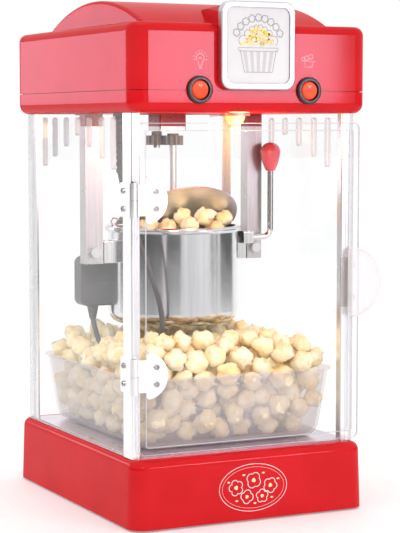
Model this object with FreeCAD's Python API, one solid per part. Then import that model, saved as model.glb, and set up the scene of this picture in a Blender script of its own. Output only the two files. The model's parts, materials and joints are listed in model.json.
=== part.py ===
"""Counter-top popcorn maker: red base and header, clear cabinet, tilting kettle, stirrer and tray.

Millimetres, +Z up, the front of the machine faces -Y, origin on the floor below the cabinet's centre.
"""
import FreeCAD, Part
import math
import os

V = FreeCAD.Vector
X_AXIS, Y_AXIS, Z_AXIS = V(1, 0, 0), V(0, 1, 0), V(0, 0, 1)

# ---------------------------------------------------------------- driving dimensions
BODY_W = 238.0            # base and header, across
BODY_D = 287.0            # base and header, front to back
CORNER_R = 15.0           # upright corners of base and header
SHELL_T = 2.5             # wall of the moulded shells
BASE_DRAFT = 1.5          # how far each side of the base leans in at the top
FOOT_H = 2.0
FOOT_R, FOOT_SPOT = 9.0, (96.0, 120.0)
BOTTOM_T = 1.5
BASE_RIM_Z = 1.2
DECK_Z = 62.5             # flat top of the base
HEADER_Z = 368.5          # underside of the header
SEAM_Z = 388.0            # joint between header frame and header cover
COVER_TOP_Z = 447.5
DOME_RISE = 25.5
DOME_HALF_X = 95.0
DOME_HALF_Y = 113.0

PANEL_T = 3.0             # clear side panels
PANEL_X = 109.5           # inner face of the side panels
CAB_FRONT_Y = -127.0
CAB_REAR_Y = 123.5
POST = 9.0                # square corner posts
HINGE_POST_W, HINGE_POST_D = 8.5, 20.0
ANGLE_T = 1.7             # sheet of the two rear corner angles
ANGLE_NARROW, ANGLE_WIDE, ANGLE_DEEP = 6.0, 21.5, 13.0

DOOR_Y = (-131.5, -128.5)
DOOR_X = (-108.5, 117.0)
DOOR_Z = (65.5, 360.0)
HINGE_AXIS = (-113.5, -132.5)
HINGE_R = 4.0
HINGE_SPANS = ((277.0, 307.5), (121.0, 153.0))

KETTLE_X, KETTLE_Y = -5.0, 15.0
KETTLE_R = 63.5
KETTLE_BOTTOM_Z, KETTLE_RIM_Z = 167.0, 259.5
LIP_R = 67.0
PIVOT_Z = 237.0
LID_R = 64.0
LID_OPEN_DEG = 36.0

GEAR_TEETH = 12
GEAR_PITCH_R = 9.0
GEAR_Z = (338.5, 347.7)
DRIVE_X, DRIVE_Y = KETTLE_X - 10.8, KETTLE_Y + 14.4
STIR_ROD_R = 3.5

SWITCH_X, SWITCH_Z = 55.0, 388.7
ROCKER_TILT_DEG = 10.0
LAMP_Y = -105.0
SIGN_HALF_W, SIGN_Z = 37.0, (389.0, 466.8)

TRAY_X = (-104.0, 104.0)
TRAY_Y = (-117.5, 121.5)
TRAY_RIM_Z = 130.5
TRAY_T = 1.8

LEAD_R = 2.5
LEAD_POINTS = [
    V(-94, -60, 314), V(-91, -66, 286), V(-83, -73, 254), V(-70, -77, 219), V(-58, -73, 186),
    V(-52, -60, 160), V(-56, -40, 142), V(-68, -16, 134), V(-76, 12, 137),
    V(-78, 33, 150), V(-78, 44, 170),
]
SHAFT_PLAY = 0.06         # radial play of a shaft in its hole


# ---------------------------------------------------------------- helpers
def box(x0, x1, y0, y1, z0, z1):
    return Part.makeBox(x1 - x0, y1 - y0, z1 - z0, V(x0, y0, z0))


def rod(radius, start, end):
    run = end - start
    return Part.makeCylinder(radius, run.Length, start, run)


def tube(outer, inner, start, end):
    return rod(outer, start, end).cut(rod(inner, start, end))


def round_rect(x0, x1, y0, y1, radius, z):
    """A closed wire: a rectangle with four round corners, flat at height z."""
    corners = [(x1, y1, 0), (x0, y1, 90), (x0, y0, 180), (x1, y0, 270)]
    arcs = []
    for x, y, turn in corners:
        cx = x - radius if x == x1 else x + radius
        cy = y - radius if y == y1 else y + radius
        points = [V(cx + radius * math.cos(math.radians(turn + a)),
                    cy + radius * math.sin(math.radians(turn + a)), z) for a in (0, 45, 90)]
        arcs.append((points, Part.Arc(*points).toShape()))
    edges = []
    for i, (points, arc) in enumerate(arcs):
        edges.append(arc)
        edges.append(Part.makeLine(points[2], arcs[(i + 1) % 4][0][0]))
    return Part.Wire(edges)


def round_block(x0, x1, y0, y1, z0, z1, radius, lean=0.0):
    """A block with round upright corners; each side leans in by `lean` at the top."""
    low = round_rect(x0, x1, y0, y1, radius, z0)
    high = round_rect(x0 + lean, x1 - lean, y0 + lean, y1 - lean, radius, z1)
    return Part.makeLoft([low, high], True, True)


def fillet(shape, radius, pick):
    return shape.makeFillet(radius, [e for e in shape.Edges if pick(e)])


def at_height(z):
    return lambda e: abs(e.BoundBox.ZMin - z) < 1e-3 and abs(e.BoundBox.ZMax - z) < 1e-3


def at_depth(y):
    return lambda e: abs(e.BoundBox.YMin - y) < 1e-3 and abs(e.BoundBox.YMax - y) < 1e-3


def edge_across_y(x):
    """Picks the edges at x that run front to back."""
    return lambda e: abs(e.BoundBox.XMin - x) < 1e-3 and e.BoundBox.XLength < 1e-3 < 1 < e.BoundBox.YLength


def upright(e):
    box_ = e.BoundBox
    return box_.XLength < 1e-3 and box_.YLength < 1e-3 and box_.ZLength > 1e-3


def revolve(profile, x, y):
    """Turn a closed list of (radius, z) points and three-point arcs about the upright line at x, y."""
    edges = []
    for piece in profile:
        points = [V(r, 0, z) for r, z in piece]
        curve = Part.Arc(*points).toShape() if len(points) == 3 else Part.makeLine(*points)
        edges.append(curve)
    solid = Part.Face(Part.Wire(edges)).revolve(V(0, 0, 0), Z_AXIS, 360)
    solid = Part.makeSolid(solid) if solid.ShapeType == "Shell" else solid
    return solid.translate(V(x, y, 0))


def prism(points, direction):
    return Part.Face(Part.makePolygon(points + [points[0]])).extrude(direction)


def screw_head(center, out, radius, height):
    """A pan head with a cross recess, standing out of a surface along `out`."""
    head = rod(radius, center, center + out * height)
    side = V(out.y, out.z, out.x)
    top = center + out * height
    slot_w, slot_h = radius * 0.3, height * 0.5
    for direction in (side, out.cross(side)):
        slot = Part.makeBox(radius * 1.2, slot_w, slot_h * 2, V(-radius * 0.6, -slot_w / 2, -slot_h))
        frame = FreeCAD.Placement(top, FreeCAD.Rotation(direction, out.cross(direction), out, "XZY"))
        head = head.cut(slot.transformGeometry(frame.toMatrix()))
    return head


def bent_rod(points, radius, bend):
    """A rod along straight runs joined by tangent arcs; `bend` gives each arc's radius."""
    edges, start = [], points[0]
    for i in range(1, len(points) - 1):
        a, b = (points[i - 1] - points[i]), (points[i + 1] - points[i])
        turn = math.pi - a.getAngle(b)
        arc_r = bend(min(a.Length, b.Length), turn)
        back = arc_r * math.tan(turn / 2)
        into, out = points[i] + a.normalize() * back, points[i] + b.normalize() * back
        middle_dir = (a + b).normalize()
        mid = points[i] + middle_dir * (arc_r / math.cos(turn / 2) - arc_r)
        edges += [Part.makeLine(start, into), Part.Arc(into, mid, out).toShape()]
        start = out
    edges.append(Part.makeLine(start, points[-1]))
    path = Part.Wire(edges)
    circle = Part.Wire(Part.makeCircle(radius, points[0], points[1] - points[0]))
    return path.makePipeShell([circle], True, False), path


def gear(x, y, z0, z1, phase_deg):
    """A spur gear with straight-flanked teeth; a tooth points along phase_deg."""
    module = 2 * GEAR_PITCH_R / GEAR_TEETH
    root, tip = GEAR_PITCH_R - 1.1 * module, GEAR_PITCH_R + 0.75 * module
    root_half, tip_half = 0.95 * module, 0.33 * module
    solid = rod(root, V(x, y, z0), V(x, y, z1))
    for i in range(GEAR_TEETH):
        tooth = prism([V(root - 0.6, -root_half, z0), V(tip, -tip_half, z0), V(tip, tip_half, z0),
                       V(root - 0.6, root_half, z0)], V(0, 0, z1 - z0))
        tooth.rotate(V(0, 0, 0), Z_AXIS, phase_deg + i * 360.0 / GEAR_TEETH)
        solid = solid.fuse(tooth.translate(V(x, y, 0)))
    return solid.removeSplitter()


def mirrored(shape):
    return shape.mirror(V(0, 0, 0), X_AXIS)


# ---------------------------------------------------------------- base
HALF_W, HALF_D = BODY_W / 2, BODY_D / 2


def base_block():
    return round_block(-HALF_W, HALF_W, -HALF_D, HALF_D, BASE_RIM_Z, DECK_Z, CORNER_R, BASE_DRAFT)


def base_shell():
    outer = fillet(base_block(), 8.0, at_height(DECK_Z))
    t = SHELL_T
    inner = round_block(-HALF_W + t, HALF_W - t, -HALF_D + t, HALF_D - t, BASE_RIM_Z - 1, DECK_Z - t,
                        CORNER_R - t, BASE_DRAFT)
    inner = fillet(inner, 6.0, at_height(DECK_Z - t))
    window = box(-85, 85, -95, 95, DECK_Z - 2 * t, DECK_Z + 1)
    return outer.cut(inner).cut(window)


def bottom_plate():
    gap = SHELL_T + 0.6
    plate = round_block(-HALF_W + gap, HALF_W - gap, -HALF_D + gap, HALF_D - gap,
                        FOOT_H, FOOT_H + BOTTOM_T,
                        CORNER_R - gap)
    for x, y in corner_spots(*FOOT_SPOT):
        plate = plate.cut(rod(FOOT_R, V(x, y, 0), V(x, y, FOOT_H + 2 * BOTTOM_T)))
    for x, y in corner_spots(*BASE_SCREW_SPOT):
        plate = plate.cut(rod(SCREW_R, V(x, y, 0), V(x, y, FOOT_H + SCREW_H)))
    return plate


def corner_spots(dx, dy):
    return [(sx * dx, sy * dy) for sx in (-1, 1) for sy in (-1, 1)]


def rubber_feet():
    feet = []
    for x, y in corner_spots(*FOOT_SPOT):
        foot = rod(FOOT_R, V(x, y, 0), V(x, y, FOOT_H + BOTTOM_T))
        feet.append(fillet(foot, 0.8, at_height(0)))
    return feet


SCREW_R, SCREW_H = 2.6, 1.3
BASE_SCREW_SPOT = (104, 96)


def base_screws():
    return [screw_head(V(x, y, FOOT_H + SCREW_H), V(0, 0, -1), SCREW_R, SCREW_H)
            for x, y in corner_spots(*BASE_SCREW_SPOT)]


def post_boxes():
    """Every post as (name, x0, x1, y0, y1)."""
    return [
        ("post_front_left", -PANEL_X - PANEL_T - 0.5, -PANEL_X - PANEL_T - 0.5 + HINGE_POST_W,
         CAB_FRONT_Y, CAB_FRONT_Y + HINGE_POST_D),
        ("post_front_right", PANEL_X - POST, PANEL_X, CAB_FRONT_Y, CAB_FRONT_Y + POST),
    ]


def post(x0, x1, y0, y1):
    solid = fillet(box(x0, x1, y0, y1, DECK_Z, HEADER_Z), 1.5, upright)
    groove = 1.0
    mid_x = (x0 + x1) / 2
    return solid.cut(box(mid_x - groove / 2, mid_x + groove / 2, y0 - 1, y0 + 0.6, DECK_Z, HEADER_Z))


def corner_angle(side, gap=0.0):
    """Rear corner post folded from sheet; `gap` grows it, for cutting its place in the floor plate."""
    z0, z1 = (DECK_Z - 1, DECK_Z + 2) if gap else (DECK_Z, HEADER_Z)
    width = ANGLE_WIDE if side == "right" else ANGLE_NARROW
    s = 1 if side == "right" else -1
    outer, inner, free = s * (PANEL_X + gap), s * (PANEL_X - ANGLE_T - gap), s * (PANEL_X - width - gap)
    wing = box(min(outer, inner), max(outer, inner), CAB_REAR_Y - ANGLE_DEEP - gap, CAB_REAR_Y, z0, z1)
    back = box(min(outer, free), max(outer, free), CAB_REAR_Y - ANGLE_T - gap, CAB_REAR_Y, z0, z1)
    return wing.fuse(back).removeSplitter()


def floor_plate():
    plate = box(-PANEL_X + 0.3, PANEL_X - 0.3, CAB_FRONT_Y + 1.0, CAB_REAR_Y, DECK_Z, DECK_Z + 1.2)
    for _, x0, x1, y0, y1 in post_boxes():
        plate = plate.cut(box(x0 - 0.3, x1 + 0.3, y0 - 0.3, y1 + 0.3, DECK_Z - 1, DECK_Z + 2))
    for side in ("left", "right"):
        plate = plate.cut(corner_angle(side, 0.3))
    return plate


# ---------------------------------------------------------------- clear panels
VENT_Y = (-83.0, -57.0, -28.0, 0.0, 28.0, 57.0, 83.0)
VENT_TOP_Z = 365.0
VENT_LENGTHS = (47.0, 37.5, 27.5, 17.0, 27.5, 37.5, 47.0)
VENT_R = 3.4


def side_panel(inner_x, outer_x, front_y):
    x0, x1 = min(inner_x, outer_x), max(inner_x, outer_x)
    panel = box(x0, x1, front_y, CAB_REAR_Y, DECK_Z, HEADER_Z)
    for y, length in zip(VENT_Y, VENT_LENGTHS):
        top, low = VENT_TOP_Z - VENT_R, VENT_TOP_Z - length + VENT_R
        slot = box(x0 - 1, x1 + 1, y - VENT_R, y + VENT_R, low, top)
        for z in (top, low):
            slot = slot.fuse(rod(VENT_R, V(x0 - 1, y, z), V(x1 + 1, y, z)))
        panel = panel.cut(slot)
    return panel


def rear_panel():
    return box(-PANEL_X - PANEL_T, PANEL_X + PANEL_T, CAB_REAR_Y, CAB_REAR_Y + PANEL_T, DECK_Z, HEADER_Z)


# ---------------------------------------------------------------- header
FRONT_Y = -HALF_D


def switch_holes():
    holes = [rod(10.6, V(s * SWITCH_X, FRONT_Y - 3, SWITCH_Z), V(s * SWITCH_X, FRONT_Y + 8, SWITCH_Z))
             for s in (-1, 1)]
    return holes[0].fuse(holes[1])


def header_frame():
    t = SHELL_T
    outer = round_block(-HALF_W, HALF_W, -HALF_D, HALF_D, HEADER_Z, SEAM_Z, CORNER_R)
    outer = fillet(outer, 9.0, at_height(HEADER_Z))
    inner = round_block(-HALF_W + t, HALF_W - t, -HALF_D + t, HALF_D - t, HEADER_Z + t, SEAM_Z + 1,
                        CORNER_R - t)
    inner = fillet(inner, 6.5, at_height(HEADER_Z + t))
    shell = outer.cut(inner)
    lip_out, lip_in = t + 0.2, t + 1.6
    lip = round_block(-HALF_W + t, HALF_W - t, -HALF_D + t, HALF_D - t, SEAM_Z - 6, SEAM_Z, CORNER_R - t)
    lip = lip.fuse(round_block(-HALF_W + lip_out, HALF_W - lip_out, -HALF_D + lip_out, HALF_D - lip_out,
                               SEAM_Z, SEAM_Z + 5, CORNER_R - lip_out))
    lip = lip.cut(round_block(-HALF_W + lip_in, HALF_W - lip_in, -HALF_D + lip_in, HALF_D - lip_in,
                              SEAM_Z - 7, SEAM_Z + 6, CORNER_R - lip_in))
    shell = shell.fuse(lip)
    shell = shell.cut(box(-45, 35, -20, 60, HEADER_Z - 1, HEADER_Z + t + 1))
    shell = shell.cut(rod(11.8, V(0, LAMP_Y, HEADER_Z - 1), V(0, LAMP_Y, HEADER_Z + t + 1)))
    shell = shell.cut(rod(3.4, V(LEAD_POINTS[0].x, LEAD_POINTS[0].y, HEADER_Z - 1),
                          V(LEAD_POINTS[0].x, LEAD_POINTS[0].y, HEADER_Z + t + 1)))
    return shell.cut(switch_holes())


def header_ceiling():
    z0, z1 = HEADER_Z + SHELL_T, HEADER_Z + SHELL_T + 1.2
    plate = box(-100, 100, -90, 110, z0, z1)
    return plate.cut(rod(3.4, V(LEAD_POINTS[0].x, LEAD_POINTS[0].y, z0 - 1),
                         V(LEAD_POINTS[0].x, LEAD_POINTS[0].y, z1 + 1)))


def header_cover():
    t, z0 = SHELL_T, SEAM_Z + 0.6
    outer = round_block(-HALF_W, HALF_W, -HALF_D, HALF_D, z0, COVER_TOP_Z, CORNER_R)
    outer = fillet(outer, 8.0, at_height(COVER_TOP_Z))
    inner = round_block(-HALF_W + t, HALF_W - t, -HALF_D + t, HALF_D - t, z0 - 1, COVER_TOP_Z - t,
                        CORNER_R - t)
    inner = fillet(inner, 5.5, at_height(COVER_TOP_Z - t))
    return outer.cut(inner).cut(switch_holes())


def dome_block(inset):
    """The barrel-vaulted lid as a solid; `inset` shrinks it evenly."""
    half_x, half_y, rise = DOME_HALF_X - inset, DOME_HALF_Y - 3 * inset, DOME_RISE - inset
    z0 = COVER_TOP_Z
    arc = Part.Arc(V(-half_x, -half_y, z0), V(-half_x, 0, z0 + rise), V(-half_x, half_y, z0)).toShape()
    floor_line = Part.makeLine(V(-half_x, half_y, z0), V(-half_x, -half_y, z0))
    return Part.Face(Part.Wire([arc, floor_line])).extrude(V(2 * half_x, 0, 0))


def dome_cover():
    outer = dome_block(0)
    ends = lambda e: e.BoundBox.ZMax > COVER_TOP_Z + 5 and e.BoundBox.XLength < 1e-3
    return fillet(outer, 3.0, ends).cut(dome_block(2.0))


def sign_boss():
    """The fairing between the dome and the back of the sign."""
    z0, z1 = COVER_TOP_Z - 9, SIGN_Z[1] - 4
    front, back = FRONT_Y - 1.5, -75.0
    low = [V(-37, front, z0), V(37, front, z0), V(22, back, z0), V(-22, back, z0)]
    high = [V(-34, front, z1), V(34, front, z1), V(19, back, z1), V(-19, back, z1)]
    wires = [Part.makePolygon(p + [p[0]]) for p in (low, high)]
    body = Part.makeLoft(wires, True, True)
    cover = fillet(round_block(-HALF_W, HALF_W, -HALF_D, HALF_D, SEAM_Z, COVER_TOP_Z, CORNER_R), 8.0,
                   at_height(COVER_TOP_Z))
    return max(body.cut(cover).cut(dome_block(0)).Solids, key=lambda s: s.Volume)


def sign_outline(inset, y0, y1):
    """A round-cornered upright plate between depths y0 and y1."""
    radius = 10.0 - 0.6 * inset
    flat = round_rect(-SIGN_HALF_W + inset, SIGN_HALF_W - inset, SIGN_Z[0] + inset, SIGN_Z[1] - inset,
                      radius, 0)
    plate = Part.Face(flat).extrude(V(0, 0, y1 - y0))
    plate.rotate(V(0, 0, 0), X_AXIS, 90)
    return plate.translate(V(0, y1, 0))


SIGN_BACK_Y = FRONT_Y - 1.5
SIGN_FRONT_Y = SIGN_BACK_Y - 6.5


def sign_frame():
    """The tray-shaped surround with the two studs that stand it off the header."""
    ring = fillet(sign_outline(0, SIGN_FRONT_Y, SIGN_BACK_Y), 1.4, at_depth(SIGN_FRONT_Y))
    for side in (-1, 1):
        ring = ring.fuse(rod(3.0, V(side * 20, SIGN_BACK_Y, 425), V(side * 20, FRONT_Y, 425)))
    return ring.cut(sign_outline(5.6, SIGN_FRONT_Y - 1, SIGN_FRONT_Y + 2.6))


def sign_panel():
    return sign_outline(5.8, SIGN_FRONT_Y + 1.2, SIGN_FRONT_Y + 2.6)


ROCKER_Y = FRONT_Y + 2.5


def switch_bezel(x):
    flange = fillet(rod(12.3, V(x, FRONT_Y - 3.2, SWITCH_Z), V(x, FRONT_Y, SWITCH_Z)), 1.6,
                    at_depth(FRONT_Y - 3.2))
    body = flange.fuse(rod(10.5, V(x, FRONT_Y, SWITCH_Z), V(x, FRONT_Y + 17, SWITCH_Z)))
    body = body.cut(rod(9.25, V(x, FRONT_Y - 4, SWITCH_Z), V(x, FRONT_Y + 14, SWITCH_Z)))
    trunnions = rod(1.2 + SHAFT_PLAY, V(x - 9.9, ROCKER_Y, SWITCH_Z), V(x + 9.9, ROCKER_Y, SWITCH_Z))
    body = body.cut(trunnions)
    for dx in (-4, 4):
        body = body.fuse(box(x + dx - 2.4, x + dx + 2.4, FRONT_Y + 17, FRONT_Y + 25, SWITCH_Z - 0.4,
                             SWITCH_Z + 0.4))
    return body


def rocker(x):
    ball = Part.makeSphere(9.0, V(x, ROCKER_Y, SWITCH_Z))
    drum = rod(8.75, V(x, FRONT_Y - 8, SWITCH_Z), V(x, FRONT_Y + 9, SWITCH_Z))
    side = [V(x - 10, FRONT_Y + 7, SWITCH_Z - 9), V(x - 10, FRONT_Y - 4.2, SWITCH_Z - 9),
            V(x - 10, FRONT_Y - 2.8, SWITCH_Z), V(x - 10, FRONT_Y - 4.2, SWITCH_Z + 9),
            V(x - 10, FRONT_Y + 7, SWITCH_Z + 9)]
    key = ball.common(drum).common(prism(side, V(20, 0, 0)))
    key = key.fuse(rod(1.2, V(x - 9.8, ROCKER_Y, SWITCH_Z), V(x + 9.8, ROCKER_Y, SWITCH_Z)))
    key.rotate(V(x, ROCKER_Y, SWITCH_Z), X_AXIS, -ROCKER_TILT_DEG)
    return key


def lamp_holder():
    z = HEADER_Z
    ring = tube(14.0, 10.2, V(0, LAMP_Y, z - 2.5), V(0, LAMP_Y, z))
    barrel = tube(11.5, 10.2, V(0, LAMP_Y, z), V(0, LAMP_Y, z + 18))
    cap = tube(11.5, 6.2, V(0, LAMP_Y, z + 18), V(0, LAMP_Y, z + 24))
    return ring.fuse(barrel).fuse(cap)


def lamp_bulb():
    z = HEADER_Z - 2.0
    ball = Part.makeSphere(9.6, V(0, LAMP_Y, z))
    return ball.fuse(rod(6.2, V(0, LAMP_Y, z), V(0, LAMP_Y, HEADER_Z + 24)))


# ---------------------------------------------------------------- stirrer drive
GEARBOX = (-23.0, 5.0, 6.0, 34.0, 352.0, HEADER_Z + SHELL_T)


def gearbox():
    x0, x1, y0, y1, z0, z1 = GEARBOX
    block = fillet(box(x0, x1, y0, y1, z0, z1), 1.5, upright)
    block = block.fuse(box(x0 - 6, x1 + 6, y0 - 4, y1 + 4, z1 - 3.2, z1))
    return block.cut(rod(3.0 + SHAFT_PLAY, V(DRIVE_X, DRIVE_Y, z0 - 1), V(DRIVE_X, DRIVE_Y, z1 - 4)))


def motor():
    z0 = HEADER_Z + SHELL_T + 1.2
    can = fillet(rod(25.0, V(-9, 20, z0), V(-9, 20, z0 + 30)), 2.5, at_height(z0 + 30))
    return can.fuse(rod(6.0, V(-9, 20, z0 + 30), V(-9, 20, z0 + 36)))


MESH_DEG = math.degrees(math.atan2(KETTLE_Y - DRIVE_Y, KETTLE_X - DRIVE_X))


def drive_gear():
    wheel = gear(DRIVE_X, DRIVE_Y, *GEAR_Z, MESH_DEG)
    hub = rod(5.0, V(DRIVE_X, DRIVE_Y, GEAR_Z[1]), V(DRIVE_X, DRIVE_Y, GEARBOX[4] - 0.3))
    return wheel.fuse(hub).fuse(rod(3.0, V(DRIVE_X, DRIVE_Y, GEAR_Z[1]),
                                    V(DRIVE_X, DRIVE_Y, GEARBOX[5] - 5)))


def drive_gear_screw():
    return screw_head(V(DRIVE_X, DRIVE_Y, GEAR_Z[0]), V(0, 0, -1), 3.4, 2.6)


def stir_gear():
    half_tooth = 180.0 / GEAR_TEETH
    wheel = gear(KETTLE_X, KETTLE_Y, *GEAR_Z, MESH_DEG + 180 + half_tooth)
    hub = rod(5.5, V(KETTLE_X, KETTLE_Y, GEAR_Z[1]), V(KETTLE_X, KETTLE_Y, GEAR_Z[1] + 2))
    return wheel.fuse(hub).cut(rod(STIR_ROD_R, V(KETTLE_X, KETTLE_Y, 330), V(KETTLE_X, KETTLE_Y, 352)))


PAN_FLOOR_Z = KETTLE_BOTTOM_Z + 18.5


def stir_rod():
    shaft = rod(STIR_ROD_R, V(KETTLE_X, KETTLE_Y, PAN_FLOOR_Z + 2), V(KETTLE_X, KETTLE_Y, GEAR_Z[1] + 2))
    return fillet(shaft, 1.0, at_height(PAN_FLOOR_Z + 2))


def stirrer_blade():
    z0 = PAN_FLOOR_Z + 3.5
    bar = box(KETTLE_X - 50, KETTLE_X + 50, KETTLE_Y - 3, KETTLE_Y + 3, z0, z0 + 2.5)
    hub = rod(7.0, V(KETTLE_X, KETTLE_Y, z0), V(KETTLE_X, KETTLE_Y, z0 + 9))
    fins = [box(KETTLE_X + s * 30 - 12, KETTLE_X + s * 30 + 12, KETTLE_Y + s * 1.5 - 0.8,
                KETTLE_Y + s * 1.5 + 0.8,
                z0 + 2.5, z0 + 9) for s in (-1, 1)]
    body = bar.fuse(hub).fuse(fins[0]).fuse(fins[1])
    return body.cut(rod(STIR_ROD_R, V(KETTLE_X, KETTLE_Y, z0 - 2), V(KETTLE_X, KETTLE_Y, z0 + 12)))


# ---------------------------------------------------------------- kettle
def kettle_shell():
    r, z0, z1, t, bend = KETTLE_R, KETTLE_BOTTOM_Z, KETTLE_RIM_Z, 1.0, 12.0
    k = bend * (1 - math.sqrt(0.5))
    ki = (bend - t) * (1 - math.sqrt(0.5))
    profile = [
        [(0, z0), (r - bend, z0)],
        [(r - bend, z0), (r - k, z0 + k), (r, z0 + bend)],
        [(r, z0 + bend), (r, z1 - 4.5)],
        [(r, z1 - 4.5), (LIP_R - 0.6, z1 - 3.4)],
        [(LIP_R - 0.6, z1 - 3.4), (LIP_R, z1 - 1.7), (LIP_R - 0.3, z1)],
        [(LIP_R - 0.3, z1), (r - t, z1)],
        [(r - t, z1), (r - t, z0 + bend)],
        [(r - t, z0 + bend), (r - t - ki, z0 + t + ki), (r - bend, z0 + t)],
        [(r - bend, z0 + t), (0, z0 + t)],
        [(0, z0 + t), (0, z0)],
    ]
    return revolve(profile, KETTLE_X, KETTLE_Y)


def kettle_pan():
    r, t, z0, z1 = KETTLE_R - 1.2, 1.2, PAN_FLOOR_Z - 1.2, KETTLE_RIM_Z
    profile = [
        [(0, z0), (r - 5, z0)],
        [(r - 5, z0), (r - 1.46, z0 + 1.46), (r, z0 + 5)],
        [(r, z0 + 5), (r, z1)],
        [(r, z1), (LIP_R - 0.3, z1)],
        [(LIP_R - 0.3, z1), (LIP_R - 0.9, z1 + 1.2)],
        [(LIP_R - 0.9, z1 + 1.2), (r - t, z1 + 1.2)],
        [(r - t, z1 + 1.2), (r - t, z0 + 5)],
        [(r - t, z0 + 5), (r - t - 1.1, z0 + t + 1.1), (r - 5, z0 + t)],
        [(r - 5, z0 + t), (0, z0 + t)],
        [(0, z0 + t), (0, z0)],
    ]
    return revolve(profile, KETTLE_X, KETTLE_Y)


def heating_element():
    ring = Part.makeTorus(38.0, 4.0, V(KETTLE_X, KETTLE_Y, PAN_FLOOR_Z - 1.2 - 4.0))
    return ring


def thermostat():
    z1 = PAN_FLOOR_Z - 1.2
    return rod(9.0, V(KETTLE_X, KETTLE_Y, z1 - 9), V(KETTLE_X, KETTLE_Y, z1))


LID_Z = KETTLE_RIM_Z + 1.2
LID_PLAY = 0.15           # gap under the closed flap
LID_T = 1.2
LID_AXIS_Z = LID_Z + 2.85
LID_KNUCKLE = 2.6
LID_PIN_R = 1.2
HINGE_SPOTS = (-37.0, 37.0)


def half_disc(front):
    low = LID_Z + LID_PLAY if front else LID_Z
    plate = rod(LID_R, V(KETTLE_X, KETTLE_Y, low), V(KETTLE_X, KETTLE_Y, LID_Z + LID_T))
    away = 3.2
    y0, y1 = (KETTLE_Y - away, KETTLE_Y + 80) if front else (KETTLE_Y - 80, KETTLE_Y + away)
    return plate.cut(box(KETTLE_X - 80, KETTLE_X + 80, y0, y1, LID_Z - 1, LID_Z + LID_T + 1))


def knuckle(x0, x1, toward, play):
    """A curl round the lid's hinge pin with its tab onto the plate; toward is -1 for the front."""
    y = KETTLE_Y
    curl = rod(LID_KNUCKLE, V(x0, y, LID_AXIS_Z), V(x1, y, LID_AXIS_Z))
    tab = box(x0, x1, min(y, y + toward * 9), max(y, y + toward * 9), LID_Z + LID_T - 0.9,
              LID_Z + LID_T + 0.9)
    return curl.fuse(tab).cut(rod(LID_PIN_R + play, V(x0 - 1, y, LID_AXIS_Z), V(x1 + 1, y, LID_AXIS_Z)))


def lid_rear():
    plate = half_disc(False)
    plate = plate.cut(rod(6.2, V(KETTLE_X, KETTLE_Y, LID_Z - 1), V(KETTLE_X, KETTLE_Y, LID_Z + 3)))
    for dx in HINGE_SPOTS:
        for side in (-1, 1):
            a, b = sorted((KETTLE_X + dx + side * 5.3, KETTLE_X + dx + side * 10))
            plate = plate.fuse(knuckle(a, b, 1, 0))
    return plate.removeSplitter()


def lid_flap():
    plate = half_disc(True)
    plate = plate.cut(rod(10.0, V(KETTLE_X, KETTLE_Y, LID_Z - 1), V(KETTLE_X, KETTLE_Y, LID_Z + 3)))
    for dx in HINGE_SPOTS:
        plate = plate.fuse(knuckle(KETTLE_X + dx - 5, KETTLE_X + dx + 5, -1, SHAFT_PLAY))
    plate = plate.removeSplitter()
    plate.rotate(V(KETTLE_X, KETTLE_Y, LID_AXIS_Z), X_AXIS, -LID_OPEN_DEG)
    return plate


def lid_hinge_pins():
    return [rod(LID_PIN_R, V(KETTLE_X + dx - 10.5, KETTLE_Y, LID_AXIS_Z),
                V(KETTLE_X + dx + 10.5, KETTLE_Y, LID_AXIS_Z))
            for dx in HINGE_SPOTS]


def stir_bush():
    """A bridge across the kettle's mouth that steadies the stirrer rod."""
    z0 = KETTLE_RIM_Z - 7.0
    bar = box(KETTLE_X - KETTLE_R + 2.4, KETTLE_X + KETTLE_R - 2.4, KETTLE_Y - 4, KETTLE_Y + 4, z0,
              z0 + 2)
    body = bar.fuse(rod(6.0, V(KETTLE_X, KETTLE_Y, z0), V(KETTLE_X, KETTLE_Y, KETTLE_RIM_Z + 3)))
    body = body.common(rod(KETTLE_R - 2.4, V(KETTLE_X, KETTLE_Y, z0 - 1), V(KETTLE_X, KETTLE_Y, z0 + 20)))
    return body.cut(rod(STIR_ROD_R + SHAFT_PLAY, V(KETTLE_X, KETTLE_Y, z0 - 1),
                        V(KETTLE_X, KETTLE_Y, z0 + 20)))


HANGER_IN = {"left": 82.0, "right": 73.0}
HANGER_W = {"left": 18.0, "right": 16.0}
HANGER_Y = (8.0, 22.0)
HANGER_LOW_Z = {"left": 226.0, "right": 226.0}


def hanger(side):
    """A sheet-metal channel that hangs from the header and holds one kettle pivot."""
    t = 1.5
    x0, x1 = HANGER_IN[side], HANGER_IN[side] + HANGER_W[side]
    z0 = HANGER_LOW_Z[side]
    web = box(x0, x1, HANGER_Y[0], HANGER_Y[0] + t, z0, HEADER_Z)
    body = web
    for x in (x0, x1 - t):
        body = body.fuse(box(x, x + t, HANGER_Y[0], HANGER_Y[1], z0, HEADER_Z))
    body = body.fuse(box(x0, x1, HANGER_Y[0], HANGER_Y[1] + 10, HEADER_Z - t, HEADER_Z))
    body = body.cut(rod(3.0 + SHAFT_PLAY, V(x0 - 1, KETTLE_Y, PIVOT_Z), V(x0 + t + 1, KETTLE_Y, PIVOT_Z)))
    return mirrored(body) if side == "left" else body


def hanger_screws():
    heads = []
    for side, s in (("left", -1), ("right", 1)):
        spot = V(s * (HANGER_IN[side] + 9), HANGER_Y[1] + 4, HEADER_Z - 1.5)
        heads.append(screw_head(spot, V(0, 0, -1), SCREW_R, SCREW_H))
    return heads


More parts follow.
